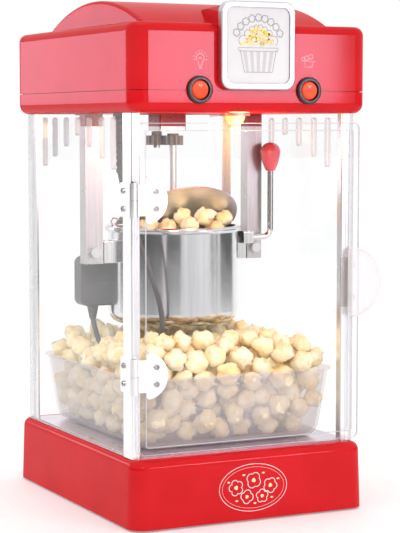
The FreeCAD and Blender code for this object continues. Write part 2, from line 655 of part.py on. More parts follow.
def thumb_screws():
    screws = []
    for side, s in (("left", -1), ("right", 1)):
        x = s * (HANGER_IN[side] + HANGER_W[side] / 2)
        knob = rod(5.2, V(x, HANGER_Y[0] - 5, PIVOT_Z), V(x, HANGER_Y[0], PIVOT_Z))
        for i in range(12):
            a = math.radians(30 * i)
            groove = rod(0.7, V(x + 5.3 * math.cos(a), HANGER_Y[0] - 6, PIVOT_Z + 5.3 * math.sin(a)),
                         V(x + 5.3 * math.cos(a), HANGER_Y[0] + 1, PIVOT_Z + 5.3 * math.sin(a)))
            knob = knob.cut(groove)
        screws.append(knob)
    return screws


def kettle_drum():
    return rod(KETTLE_R, V(KETTLE_X, KETTLE_Y, 100), V(KETTLE_X, KETTLE_Y, 300))


def kettle_bracket(side):
    reach = HANGER_IN[side]
    if side == "left":
        body = box(-reach + 1.0, KETTLE_X - KETTLE_R + 3, 8, 22, 226, 248)
        pin = rod(3.0, V(-reach + 2, KETTLE_Y, PIVOT_Z), V(-reach - 6, KETTLE_Y, PIVOT_Z))
    else:
        body = box(KETTLE_X + KETTLE_R - 3, reach - 1.0, 8, 22, 226, 248)
        body = body.fuse(box(reach - 12, reach - 1.0, HANDLE_Y - 5, 22, 242, 254))
        pin = rod(3.0, V(reach - 2, KETTLE_Y, PIVOT_Z), V(reach + 6, KETTLE_Y, PIVOT_Z))
    body = fillet(body, 1.0, lambda e: e.BoundBox.XLength > 5 and e.BoundBox.ZLength < 1e-3)
    return body.fuse(pin).cut(kettle_drum())


HANDLE_X, HANDLE_Y = 93.0, -3.0
HANDLE_Z, HANDLE_TOP_Z = 248.0, 313.0


def handle_rod():
    points = [V(HANGER_IN["right"] - 1.0, HANDLE_Y, HANDLE_Z), V(HANDLE_X, HANDLE_Y, HANDLE_Z),
              V(HANDLE_X, HANDLE_Y, HANDLE_TOP_Z)]
    solid, _ = bent_rod(points, 3.0, lambda run, turn: 8.0)
    return solid


def handle_knob():
    z0, r = HANDLE_TOP_Z, 10.0
    profile = [
        [(0, z0), (4.5, z0)],
        [(4.5, z0), (8.6, z0 + 10.5), (r, z0 + 18)],
        [(r, z0 + 18), (r * math.sqrt(0.5), z0 + 18 + r * math.sqrt(0.5)), (0, z0 + 18 + r)],
        [(0, z0 + 18 + r), (0, z0)],
    ]
    return revolve(profile, HANDLE_X, HANDLE_Y)


CONNECTOR_X, CONNECTOR_Z = (-93.5, -60.0), (183.0, 231.0)
CONNECTOR_Y = 44.0


def connector_housing():
    """The rounded plug box that joins the lead to the kettle's heater."""
    x0, x1, z0, z1 = *CONNECTOR_X, *CONNECTOR_Z
    flat = Part.Face(round_rect(x0, x1 + 14, z0, z1, 7.0, 0))
    shell = flat.extrude(V(0, 0, 20)).common(box(x0, x1, z0, z1, 0, 20))
    shell = fillet(shell, 1.6, lambda e: e.BoundBox.ZLength < 1e-3)
    shell = shell.cut(box(x0 + 6, x1, z1 - 26, z1 - 7, 19.2, 21))
    shell.rotate(V(0, 0, 0), X_AXIS, 90)
    shell.translate(V(0, CONNECTOR_Y + 10, 0))
    lead_end = LEAD_POINTS[-1]
    spout = Part.makeCone(3.2, 6.0, z0 + 1 - lead_end.z, lead_end)
    return shell.fuse(spout).cut(kettle_drum()).cut(rod(LEAD_R, lead_end, LEAD_POINTS[-2]))


def kettle_loop():
    """A small wire ring on the left of the rim."""
    ring = Part.makeTorus(3.6, 0.8, V(KETTLE_X - 62, KETTLE_Y, KETTLE_RIM_Z + 6.0), Y_AXIS)
    post_ = box(KETTLE_X - 63.2, KETTLE_X - 60.8, KETTLE_Y - 1, KETTLE_Y + 1, KETTLE_RIM_Z + 1.2,
                KETTLE_RIM_Z + 2.4)
    return ring.fuse(post_)


# ---------------------------------------------------------------- kettle lead
def lead_bend(run, turn):
    return 0.45 * run / math.tan(turn / 2)


def kettle_lead():
    solid, path = bent_rod(LEAD_POINTS, LEAD_R, lead_bend)
    wanted = math.pi * LEAD_R ** 2 * path.Length
    print("kettle lead length", round(path.Length, 1), "volume / (section x length)",
          round(solid.Volume / wanted, 4))
    for i in range(1, len(LEAD_POINTS) - 1):
        a, b = LEAD_POINTS[i - 1] - LEAD_POINTS[i], LEAD_POINTS[i + 1] - LEAD_POINTS[i]
        turn = math.pi - a.getAngle(b)
        print("  bend", i, "radius", round(lead_bend(min(a.Length, b.Length), turn), 1))
    return solid


def lead_boot():
    """The ribbed strain relief where the kettle lead leaves the header."""
    top, low = HEADER_Z, LEAD_POINTS[0].z
    profile = [[(0, low), (3.0, low)]]
    ribs, gap = 9, (top - 3 - low) / 9
    r, z = 3.0, low
    for i in range(ribs):
        wide = 3.6 + 1.6 * (i + 1) / ribs
        profile += [[(r, z), (wide, z + gap * 0.25)], [(wide, z + gap * 0.25), (wide, z + gap * 0.7)],
                    [(wide, z + gap * 0.7), (wide - 0.9, z + gap)]]
        r, z = wide - 0.9, z + gap
    profile += [[(r, z), (6.5, z)], [(6.5, z), (6.5, top)], [(6.5, top), (3.2, top)],
                [(3.2, top), (3.2, top + 8)],
                [(3.2, top + 8), (0, top + 8)], [(0, top + 8), (0, low)]]
    boot = revolve(profile, LEAD_POINTS[0].x, LEAD_POINTS[0].y)
    return boot.cut(rod(LEAD_R, LEAD_POINTS[0], LEAD_POINTS[1]))


def mains_gland():
    """The bush where the mains lead enters at the back."""
    y = HALF_D
    flange = fillet(rod(9.0, V(85, y - 2, 20), V(85, y + 3, 20)), 1.0, at_depth(y + 3))
    nose = rod(6.0, V(85, y, 20), V(85, y + 7, 20))
    bush = flange.fuse(nose).cut(rod(3.6, V(85, y + 1, 20), V(85, y + 8, 20)))
    return bush.cut(base_block())


# ---------------------------------------------------------------- door
def door_panel():
    flat = round_rect(DOOR_X[0], DOOR_X[1], DOOR_Z[0], DOOR_Z[1], 6.0, 0)
    panel = Part.Face(flat).extrude(V(0, 0, DOOR_Y[1] - DOOR_Y[0]))
    inset, width = 6.5, 1.2
    ring = Part.Face(round_rect(DOOR_X[0] + inset, DOOR_X[1] - inset, DOOR_Z[0] + inset,
                                DOOR_Z[1] - inset, 2.5, 0))
    hole = Part.Face(round_rect(DOOR_X[0] + inset + width, DOOR_X[1] - inset - width,
                                DOOR_Z[0] + inset + width,
                                DOOR_Z[1] - inset - width, 1.5, 0))
    groove = ring.cut(hole).extrude(V(0, 0, 0.6)).translate(V(0, 0, DOOR_Y[1] - DOOR_Y[0] - 0.6))
    panel = panel.cut(groove)
    panel.rotate(V(0, 0, 0), X_AXIS, 90)
    return panel.translate(V(0, DOOR_Y[1], 0))


HANDLE_GRIP_Z, HANDLE_GRIP_R = 212.4, 32.5
HANDLE_GRIP_X = 105.0


def door_handle():
    y0, y1 = DOOR_Y[0] - 7.5, DOOR_Y[0]
    disc = rod(HANDLE_GRIP_R, V(HANDLE_GRIP_X, y0, HANDLE_GRIP_Z), V(HANDLE_GRIP_X, y1, HANDLE_GRIP_Z))
    grip = disc.cut(box(0, HANDLE_GRIP_X, y0 - 1, y1 + 1, 150, 280))
    ends = edge_across_y(HANDLE_GRIP_X)
    grip = fillet(grip, 4.0, ends)
    return fillet(grip, 1.2, at_depth(y0))


def door_handle_screws():
    return [screw_head(V(112.8, DOOR_Y[1], HANDLE_GRIP_Z + dz), Y_AXIS, SCREW_R, SCREW_H)
            for dz in (-15, 15)]


def door_catch():
    return box(99.5, 108.5, DOOR_Y[1] + 0.15, CAB_FRONT_Y, 189, 235)


def split_height(span):
    return (span[0] + span[1]) / 2


def hinge_post_leaf(span):
    hx, hy = HINGE_AXIS
    mid = split_height(span)
    face_x = post_boxes()[0][1]
    leaf = box(face_x - 1.4, face_x, hy + 3.0, CAB_FRONT_Y + 22, span[0], span[1])
    leaf = fillet(leaf, 3.0, lambda e: e.BoundBox.YMin > CAB_FRONT_Y + 21 and e.BoundBox.XLength > 1 and
                  e.BoundBox.ZLength < 1e-3)
    barrel = rod(HINGE_R, V(hx, hy, span[0]), V(hx, hy, mid - 0.15))
    web = box(face_x - 1.4, face_x, hy, hy + 4, span[0], mid - 0.15)
    body = leaf.fuse(barrel).fuse(web)
    clear = rod(HINGE_R + 0.35, V(hx, hy, mid - 0.15), V(hx, hy, span[1] + 1))
    return body.cut(clear).cut(rod(1.8, V(hx, hy, span[0] - 1), V(hx, hy, mid)))


def hinge_door_leaf(span):
    hx, hy = HINGE_AXIS
    mid = split_height(span)
    y0, y1 = DOOR_Y[0] - 1.5, DOOR_Y[0]
    neck = box(hx, -100.0, y0, y1, span[0] + 1.5, span[1] - 1.5)
    r, cx = 20.8, -101.5
    moon = rod(r, V(cx, y0, mid), V(cx, y1, mid))
    moon = moon.cut(box(cx - 30, cx, y0 - 1, y1 + 1, mid - 30, mid + 30))
    moon = fillet(moon, 3.0, edge_across_y(cx))
    barrel = rod(HINGE_R, V(hx, hy, mid + 0.15), V(hx, hy, span[1]))
    body = neck.fuse(moon)
    body = body.cut(rod(HINGE_R + 0.35, V(hx, hy, span[0] - 1), V(hx, hy, mid + 0.15)))
    return body.fuse(barrel).cut(rod(1.8 + SHAFT_PLAY, V(hx, hy, mid - 1), V(hx, hy, span[1] + 1)))


def hinge_pins():
    hx, hy = HINGE_AXIS
    pins = []
    for span in HINGE_SPANS:
        pin = rod(1.8, V(hx, hy, span[0]), V(hx, hy, span[1] + 0.3))
        cap = rod(2.8, V(hx, hy, span[1] + 0.3), V(hx, hy, span[1] + 1.5))
        pins.append(pin.fuse(cap))
    return pins


def hinge_screws_post():
    face_x = post_boxes()[0][1] - 1.4
    heads = []
    for span in HINGE_SPANS:
        for dz in (-8.0, 8.0):
            heads.append(screw_head(V(face_x, -112.0, split_height(span) + dz), V(-1, 0, 0), SCREW_R,
                                    SCREW_H))
    return heads


def hinge_screws_door():
    heads = []
    for span in HINGE_SPANS:
        for dz in (-7.6, 7.6):
            spot = V(-91.8, DOOR_Y[0] - 1.5, split_height(span) + dz)
            heads.append(screw_head(spot, V(0, -1, 0), SCREW_R, SCREW_H))
    return heads


# ---------------------------------------------------------------- tray
def popcorn_tray():
    x0, x1, y0, y1 = *TRAY_X, *TRAY_Y
    z0, z1, lip, lean, corner = DECK_Z + 1.2, TRAY_RIM_Z, 2.2, 8.5, 17.5
    wall_x0, wall_x1, wall_y0, wall_y1 = x0 + lip, x1 - lip, y0 + lip, y1 - lip

    def tub(shrink, low, high, bend):
        bottom = round_rect(wall_x0 + lean + shrink, wall_x1 - lean - shrink, wall_y0 + lean + shrink,
                            wall_y1 - lean - shrink, corner, low)
        top = round_rect(wall_x0 + shrink, wall_x1 - shrink, wall_y0 + shrink, wall_y1 - shrink,
                         corner, high)
        return fillet(Part.makeLoft([bottom, top], True, True), bend, at_height(low))

    outer = tub(0, z0, z1, 15.0)
    rim = round_block(x0, x1, y0, y1, z1 - 1.8, z1, corner + lip)
    inner = tub(TRAY_T, z0 + TRAY_T, z1 + 0.01, 13.5)
    return outer.fuse(rim).cut(inner)


# ---------------------------------------------------------------- write every node
def nodes():
    made = {
        "base_shell": base_shell(), "bottom_plate": bottom_plate(), "rubber_feet": rubber_feet(),
        "floor_plate": floor_plate(), "rear_panel": rear_panel(),
        "side_panel_left": side_panel(-PANEL_X, -PANEL_X - PANEL_T, CAB_FRONT_Y + HINGE_POST_D),
        "side_panel_right": side_panel(PANEL_X, PANEL_X + PANEL_T, CAB_FRONT_Y),
        "header_frame": header_frame(), "header_ceiling": header_ceiling(), "header_cover": header_cover(),
        "dome_cover": dome_cover(), "sign_boss": sign_boss(), "sign_frame": sign_frame(),
        "sign_panel": sign_panel(),
        "switch_bezels": [switch_bezel(-SWITCH_X), switch_bezel(SWITCH_X)],
        "rocker_left": rocker(-SWITCH_X), "rocker_right": rocker(SWITCH_X),
        "lamp_holder": lamp_holder(), "lamp_bulb": lamp_bulb(),
        "gearbox": gearbox(), "motor": motor(),
        "drive_gear": drive_gear(), "drive_gear_screw": drive_gear_screw(),
        "stir_gear": stir_gear(), "stir_rod": stir_rod(), "stirrer_blade": stirrer_blade(),
        "kettle_shell": kettle_shell(), "kettle_pan": kettle_pan(),
        "heating_element": heating_element(), "thermostat": thermostat(),
        "lid_rear": lid_rear(), "lid_flap": lid_flap(), "lid_hinge_pins": lid_hinge_pins(),
        "stir_bush": stir_bush(), "kettle_loop": kettle_loop(),
        "hanger_left": hanger("left"), "hanger_right": hanger("right"), "thumb_screws": thumb_screws(),
        "kettle_bracket_left": kettle_bracket("left"), "kettle_bracket_right": kettle_bracket("right"),
        "handle_rod": handle_rod(), "handle_knob": handle_knob(),
        "connector_housing": connector_housing(), "kettle_lead": kettle_lead(), "lead_boot": lead_boot(),
        "mains_gland": mains_gland(), "door_panel": door_panel(), "door_handle": door_handle(),
        "door_catch": door_catch(), "hinge_pins": hinge_pins(),
        "hinge_post_leaves": [hinge_post_leaf(span) for span in HINGE_SPANS],
        "hinge_door_leaves": [hinge_door_leaf(span) for span in HINGE_SPANS],
        "cabinet_screws": base_screws() + hanger_screws() + hinge_screws_post(),
        "door_screws": door_handle_screws() + hinge_screws_door(),
        "popcorn_tray": popcorn_tray(),
    }
    for name, *sides in post_boxes():
        made[name] = post(*sides)
    for side in ("left", "right"):
        made["post_rear_" + side] = corner_angle(side)
    return made


def main():
    os.makedirs("parts", exist_ok=True)
    for name, shape in nodes().items():
        if isinstance(shape, list):
            shape = Part.makeCompound(shape)
        if not shape.isValid() or not shape.Solids:
            print("not a valid solid:", name)
        shape.exportStep("parts/%s.step" % name)
        print(name, len(shape.Solids), round(shape.Volume / 1000.0, 2), "cm3")


main()
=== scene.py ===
"""Looks for the popcorn maker: materials, popcorn, printed marks, the kettle's lead, light and camera.

Metres, +Z up, the front faces -Y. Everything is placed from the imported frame.
"""

import json
import math
import random

import bmesh
import bpy
import numpy as np
from mathutils import Matrix, Vector, noise


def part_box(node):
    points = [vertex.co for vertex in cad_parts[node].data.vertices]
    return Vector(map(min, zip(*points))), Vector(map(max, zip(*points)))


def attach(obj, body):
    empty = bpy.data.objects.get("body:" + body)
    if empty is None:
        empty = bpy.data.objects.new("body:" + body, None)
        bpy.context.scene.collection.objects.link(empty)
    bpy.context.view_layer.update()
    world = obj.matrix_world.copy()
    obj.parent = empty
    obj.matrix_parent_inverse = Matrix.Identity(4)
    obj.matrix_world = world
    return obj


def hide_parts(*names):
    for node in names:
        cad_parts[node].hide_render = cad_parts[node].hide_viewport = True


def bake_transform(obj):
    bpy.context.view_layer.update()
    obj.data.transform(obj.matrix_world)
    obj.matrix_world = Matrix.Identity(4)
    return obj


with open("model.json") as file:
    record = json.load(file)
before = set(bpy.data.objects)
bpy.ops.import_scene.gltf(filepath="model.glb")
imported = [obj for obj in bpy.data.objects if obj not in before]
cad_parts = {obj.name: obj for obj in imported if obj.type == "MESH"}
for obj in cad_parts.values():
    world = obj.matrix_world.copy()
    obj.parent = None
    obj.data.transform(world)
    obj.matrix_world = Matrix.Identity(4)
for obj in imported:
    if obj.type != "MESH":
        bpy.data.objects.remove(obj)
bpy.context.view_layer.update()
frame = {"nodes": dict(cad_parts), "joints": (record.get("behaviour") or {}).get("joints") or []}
NODES = frame["nodes"]
MM = 0.001


# ---------------------------------------------------------------- shader helpers
class Nodes:
    """A material's node tree with short ways to add and join nodes."""

    def __init__(self, name):
        self.mat = bpy.data.materials.new(name)
        self.mat.use_nodes = True
        self.tree = self.mat.node_tree
        self.tree.nodes.clear()
        self.out = self.tree.nodes.new("ShaderNodeOutputMaterial")

    def add(self, kind, **values):
        node = self.tree.nodes.new(kind)
        for key, value in values.items():
            if hasattr(node, key):
                setattr(node, key, value)
            else:
                self.feed(node.inputs[key.replace("_", " ")], value)
        return node

    def feed(self, socket, value):
        if isinstance(value, bpy.types.NodeSocket):
            self.tree.links.new(value, socket)
        elif isinstance(value, (tuple, list)) and len(value) == 3 and socket.type == "RGBA":
            socket.default_value = (*value, 1)
        else:
            socket.default_value = value

    def component(self, output, letter):
        """X, Y or Z of one of the texture coordinates, such as the place on the object or its normal."""
        vector = self.add("ShaderNodeTexCoord").outputs[output]
        return self.add("ShaderNodeSeparateXYZ", Vector=vector).outputs[letter]

    def noise(self, size, scale=(1, 1, 1), detail=3.0, rough=0.5):
        """Noise whose blobs are about `size` metres across, made finer along each axis by `scale`."""
        place = self.add("ShaderNodeTexCoord").outputs["Object"]
        scaled = self.add("ShaderNodeMapping", Vector=place, Scale=scale).outputs["Vector"]
        return self.add("ShaderNodeTexNoise", Vector=scaled, Scale=1 / size, Detail=detail,
                        Roughness=rough).outputs["Fac"]

    def ramp(self, fac, low, high, a=0.35, b=0.65):
        """A value or colour that goes from low to high as fac goes from a to b."""
        node = self.add("ShaderNodeValToRGB")
        self.feed(node.inputs["Fac"], fac)
        for stop, place, value in zip(node.color_ramp.elements, (a, b), (low, high)):
            stop.position = place
            stop.color = (*value, 1) if isinstance(value, (tuple, list)) else (value, value, value, 1)
        return node.outputs["Color"]

    def bump(self, height, strength, distance):
        node = self.add("ShaderNodeBump", Height=height, Strength=strength, Distance=distance)
        return node.outputs["Normal"]

    def math(self, operation, a, b=0.0):
        node = self.add("ShaderNodeMath", operation=operation)
        self.feed(node.inputs[0], a)
        self.feed(node.inputs[1], b)
        return node.outputs[0]

    def sheen_of(self, straight, grazing):
        """How much a surface mirrors: `straight` seen head on, rising to `grazing` along it.

        It is the same from both sides.
        """
        facing = self.add("ShaderNodeLayerWeight", Blend=0.5).outputs["Facing"]
        rise = self.math("MULTIPLY", self.math("POWER", facing, 5.0), grazing - straight)
        return self.math("ADD", rise, straight)

    def principled(self, **values):
        node = self.tree.nodes.new("ShaderNodeBsdfPrincipled")
        for key, value in values.items():
            self.feed(node.inputs[key.replace("_", " ")], value)
        return node

    def finish(self, shader):
        self.tree.links.new(shader.outputs[0], self.out.inputs["Surface"])
        return self.mat

    def mix(self, fac, a, b):
        node = self.tree.nodes.new("ShaderNodeMixShader")
        self.feed(node.inputs[0], fac)
        self.tree.links.new(a.outputs[0], node.inputs[1])
        self.tree.links.new(b.outputs[0], node.inputs[2])
        return node


# ---------------------------------------------------------------- materials
UP = (60, 60, 1)         # grain drawn out along Z
ALONG_X = (1, 40, 40)    # grain drawn out along X
REFLECTION_BANDS = (14, 14, 0.6)  # broad upright streaks
DARK_RED_FROM = 0.3565    # height in metres above which the hangers and gearbox are dark red
MIX_COLORS = (6, 7)      # the colour Mix node's two colour sockets


def red_enamel():
    """Red enamel with fine flake under a clear coat."""
    n = Nodes("red_enamel")
    flake = n.noise(0.0006, detail=1.0)
    cloud = n.noise(0.05, detail=2.0)
    color = n.ramp(cloud, (0.57, 0.005, 0.009), (0.62, 0.007, 0.012))
    peel = n.bump(n.noise(0.004, detail=1.0), 0.06, 0.0002)
    flecks = n.bump(flake, 0.10, 0.00005)
    return n.finish(n.principled(
        Base_Color=color, Roughness=n.ramp(flake, 0.28, 0.36), Specular_IOR_Level=0.0, Normal=flecks,
        Coat_Weight=0.36, Coat_Roughness=0.09, Coat_Normal=peel))


def metal(name, low, high, rough, stretch, size, bump):
    """Bare metal with a grain drawn out along one direction; on the kettle the broad light and dark streaks
    are painted reflection bands.
    """
    n = Nodes(name)
    grain = n.noise(size, stretch, detail=4.0, rough=0.6)
    smudge = n.noise(0.03, detail=2.0)
    return n.finish(n.principled(
        Base_Color=n.ramp(grain, low, high), Metallic=1.0,
        Roughness=n.ramp(smudge, rough[0], rough[1], 0.3, 0.7), Normal=n.bump(grain, bump, 0.0002)))


def capped_steel(name, above):
    """Brushed steel whose top, above the height `above`, is dark red like the header's inside."""
    n = Nodes(name)
    top_part = n.math("GREATER_THAN", n.component("Object", "Z"), above)
    grain = n.noise(0.05, UP, detail=4.0, rough=0.6)
    steel = n.principled(Base_Color=n.ramp(grain, (0.41, 0.40, 0.38), (0.53, 0.52, 0.50)), Metallic=1.0,
                         Roughness=n.ramp(n.noise(0.03), 0.26, 0.36), Normal=n.bump(grain, 0.03, 0.0002))
    # the dark red top, above the height `above`
    dark_red_top = n.principled(Base_Color=n.ramp(n.noise(0.02), (0.24, 0.006, 0.012), (0.30, 0.009, 0.018)),
                           Roughness=n.ramp(n.noise(0.002), 0.25, 0.35))
    return n.finish(n.mix(top_part, steel, dark_red_top))


def plastic(name, low, high, rough, bump=0.15, coat=0.0, glow=None):
    """Moulded plastic: slight mottling and a fine moulded grain. `glow` is a colour and a strength."""
    n = Nodes(name)
    grain = n.noise(0.0012, detail=2.0)
    mottle = n.noise(0.02, detail=2.0)
    shader = n.principled(Base_Color=n.ramp(mottle, low, high), Roughness=n.ramp(grain, rough[0], rough[1]),
                          Normal=n.bump(grain, bump, 0.00015), Coat_Weight=coat, Coat_Roughness=0.08)
    if glow:
        n.feed(shader.inputs["Emission Color"], glow[:3])
        n.feed(shader.inputs["Emission Strength"], glow[3])
    return n.finish(shader)


def clear_sheet(name, across, tint, edge, edge_alpha):
    """A clear polished sheet. Its cut edges, whose normals turn away from `across`, are opaque grey: a
    painted highlight for the light they catch.
    """
    n = Nodes(name)
    is_edge = n.ramp(n.math("ABSOLUTE", n.component("Normal", across)), edge_alpha, 0.0, 0.45, 0.75)
    clear = n.add("ShaderNodeBsdfTransparent", Color=tint)
    gloss = n.add("ShaderNodeBsdfGlossy", Color=(1, 1, 1), Roughness=n.ramp(n.noise(0.06), 0.0, 0.02))
    pane = n.mix(n.sheen_of(0.012, 0.85), clear, gloss)
    rim = n.principled(Base_Color=edge, Roughness=n.ramp(n.noise(0.004), 0.15, 0.35))
    return n.finish(n.mix(is_edge, pane, rim))


def frosted(name, veil_color, veil, rough=(0.3, 0.5)):
    """Milky clear plastic: part of the light goes straight through, the rest is veiled, most at the rim."""
    n = Nodes(name)
    cloud = n.noise(0.035, detail=3.0)
    clear = n.add("ShaderNodeBsdfTransparent", Color=(0.97, 0.96, 0.95))
    body = n.principled(Base_Color=veil_color, Roughness=n.ramp(n.noise(0.0015), rough[0], rough[1]),
                        Normal=n.bump(n.noise(0.002), 0.08, 0.0002))
    rim = n.ramp(n.math("ABSOLUTE", n.component("Normal", "Z")), 0.0, 0.4, 0.5, 0.9)
    return n.finish(n.mix(n.math("ADD", n.ramp(cloud, veil[0], veil[1]), rim), clear, body))


def lamp_glass():
    """A warm lit bulb, brightest at its middle."""
    n = Nodes("lamp_glass")
    facing = n.add("ShaderNodeLayerWeight", Blend=0.35).outputs["Facing"]
    color = n.ramp(facing, (1.0, 0.62, 0.16), (1.0, 0.26, 0.03), 0.05, 0.7)
    glow = n.add("ShaderNodeEmission", Color=color, Strength=2.2)
    skin = n.principled(Base_Color=(1.0, 0.7, 0.4), Roughness=n.ramp(n.noise(0.003), 0.05, 0.15))
    return n.finish(n.mix(0.25, glow, skin))


def popcorn_flesh():
    """Popped corn: cream foam with butter-yellow patches, a little hull brown."""
    n = Nodes("popcorn_flesh")
    tone = n.noise(0.014, detail=3.0)
    pores = n.noise(0.0022, detail=3.0, rough=0.6)
    hull = n.noise(0.010, detail=1.5)
    cream = n.ramp(tone, (0.95, 0.73, 0.34), (0.98, 0.90, 0.66), 0.34, 0.58)
    color = n.add("ShaderNodeMix", data_type="RGBA")
    n.feed(color.inputs["Factor"], n.ramp(hull, 0.0, 0.75, 0.60, 0.74))
    n.feed(color.inputs[MIX_COLORS[0]], cream)
    n.feed(color.inputs[MIX_COLORS[1]], (0.80, 0.45, 0.12))
    return n.finish(n.principled(
        Base_Color=color.outputs[2], Roughness=n.ramp(pores, 0.45, 0.7), Subsurface_Weight=0.25,
        Subsurface_Radius=(0.006, 0.004, 0.002), Subsurface_Scale=0.6, Normal=n.bump(pores, 0.4, 0.0009)))


def ink(name, color, rough=0.45):
    """A printed ink film with a slightly uneven lay-down; the door's painted highlight lines use it too."""
    n = Nodes(name)
    mottle = n.noise(0.002, detail=2.0)
    pale = tuple(min(1.0, c * 1.06) for c in color)
    return n.finish(n.principled(Base_Color=n.ramp(mottle, color, pale),
                                 Roughness=n.ramp(mottle, rough - 0.05, rough + 0.1)))


# each metal: its two colours, its two roughnesses, the grain's direction, size and depth
MATERIALS = {
    "red": red_enamel(),
    "polished": metal("polished_steel", (0.62, 0.61, 0.60), (0.80, 0.79, 0.78), (0.10, 0.17), UP, 0.05, 0.03),
    "screw": metal("screw_steel", (0.34, 0.33, 0.32), (0.46, 0.45, 0.44), (0.22, 0.32), UP, 0.02, 0.03),
    "satin": metal("satin_steel", (0.79, 0.81, 0.82), (0.87, 0.89, 0.90), (0.42, 0.50), ALONG_X, 0.05, 0.02),
    # the kettle's colour swings from 0.50 to 0.84 in broad upright streaks: painted reflection bands
    "kettle": metal("kettle_steel", (0.50, 0.50, 0.51), (0.84, 0.84, 0.85), (0.12, 0.20), REFLECTION_BANDS,
                    0.5, 0.02),
    "capped": capped_steel("capped_steel", DARK_RED_FROM),
    "brushed": metal("brushed_steel", (0.50, 0.48, 0.46), (0.66, 0.64, 0.62), (0.28, 0.40), UP, 0.05, 0.08),
    "floor": metal("floor_steel", (0.70, 0.60, 0.67), (0.84, 0.74, 0.81), (0.20, 0.30), ALONG_X, 0.05, 0.05),
    "anodised": metal("white_anodised", (0.90, 0.90, 0.905), (0.94, 0.94, 0.945), (0.26, 0.34), UP,
                      0.05, 0.01),
    "silver": metal("sign_silver", (0.56, 0.57, 0.59), (0.64, 0.65, 0.67), (0.30, 0.40), ALONG_X, 0.05, 0.05),
    "black": plastic("black_plastic", (0.012, 0.012, 0.013), (0.022, 0.022, 0.024), (0.22, 0.34)),
    "grey": plastic("grey_nylon", (0.24, 0.27, 0.29), (0.32, 0.35, 0.37), (0.40, 0.55)),
    "housing": plastic("dark_housing", (0.066, 0.064, 0.068), (0.098, 0.096, 0.100), (0.35, 0.50)),
    "rubber": plastic("soft_rubber", (0.020, 0.020, 0.021), (0.035, 0.035, 0.036), (0.55, 0.75), bump=0.3),
    "cord": plastic("cord_sheath", (0.075, 0.073, 0.080), (0.110, 0.107, 0.115), (0.40, 0.55), bump=0.2),
    "rocker": plastic("rocker_red", (0.80, 0.055, 0.012), (0.92, 0.09, 0.02), (0.42, 0.55),
                      glow=(1.0, 0.08, 0.02, 0.18)),
    "knob": plastic("knob_red", (0.62, 0.05, 0.08), (0.74, 0.08, 0.11), (0.20, 0.30), coat=0.7),
    "lamp": lamp_glass(),
    "panel_y": clear_sheet("clear_sheet_front", "Y", (0.996, 0.997, 0.998), (0.60, 0.61, 0.63), 0.7),
    "panel_x": clear_sheet("clear_sheet_side", "X", (0.990, 0.991, 0.992), (0.62, 0.63, 0.65), 0.7),
    "handle": frosted("frosted_handle", (0.88, 0.88, 0.90), (0.46, 0.58), (0.15, 0.3)),
    "tray": frosted("frosted_tray", (0.86, 0.83, 0.85), (0.16, 0.26)),
    "sign_face": plastic("sign_enamel", (0.72, 0.72, 0.715), (0.76, 0.76, 0.755), (0.50, 0.65)),
    "popcorn": popcorn_flesh(),
    # a painted highlight, not print: the lines on the door's groove and cut edge
    "painted_glint_line": ink("painted_glint_line", (0.62, 0.63, 0.65), 0.3),
    "white_ink": ink("white_ink", (0.90, 0.86, 0.86)),
    "pink_ink": ink("pink_ink", (0.95, 0.70, 0.72)),
    "grey_ink": ink("grey_ink", (0.40, 0.39, 0.38)),
    "pale_ink": ink("pale_ink", (0.56, 0.55, 0.54)),
    "butter_ink": ink("butter_ink", (0.86, 0.58, 0.04)),
    "lemon_ink": ink("lemon_ink", (0.88, 0.74, 0.18)),
    "gold_ink": ink("gold_ink", (0.88, 0.72, 0.42)),
}
FINISH = {
    "red": "base_shell header_frame header_cover dome_cover sign_boss",
    "polished": "drive_gear_screw stirrer_blade kettle_pan lid_rear lid_hinge_pins stir_bush "
                "kettle_loop thumb_screws kettle_bracket_left kettle_bracket_right handle_rod hinge_pins",
    "screw": "cabinet_screws door_screws",
    "capped": "gearbox hanger_left hanger_right",
    "satin": "lid_flap stir_rod",
    "kettle": "kettle_shell",
    "brushed": "bottom_plate header_ceiling lamp_holder motor heating_element door_catch",
    "floor": "floor_plate",
    "anodised": "post_front_left post_front_right post_rear_left post_rear_right hinge_post_leaves "
                "hinge_door_leaves",
    "silver": "sign_frame",
    "black": "switch_bezels mains_gland",
    "grey": "drive_gear stir_gear thermostat",
    "housing": "connector_housing",
    "rubber": "rubber_feet",
    "cord": "kettle_lead lead_boot",
    "rocker": "rocker_left rocker_right",
    "knob": "handle_knob",
    "lamp": "lamp_bulb",
    "panel_y": "door_panel rear_panel",
    "panel_x": "side_panel_left side_panel_right",
    "handle": "door_handle",
    "tray": "popcorn_tray",
    "sign_face": "sign_panel",
}
for finish, names in FINISH.items():
    for name in names.split():
        for material_slot in NODES[name].material_slots:
            material_slot.material = MATERIALS[finish]


# ---------------------------------------------------------------- pieces
FILM = 0.06 * MM      # how far a printed film reaches to either side of its plane
POINTS_PER_LOBE = 10


def new_object(name, data):
    obj = bpy.data.objects.new(name, data)
    bpy.context.collection.objects.link(obj)
    return obj


def centre(node):
    low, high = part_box(node)
    return (low + high) / 2


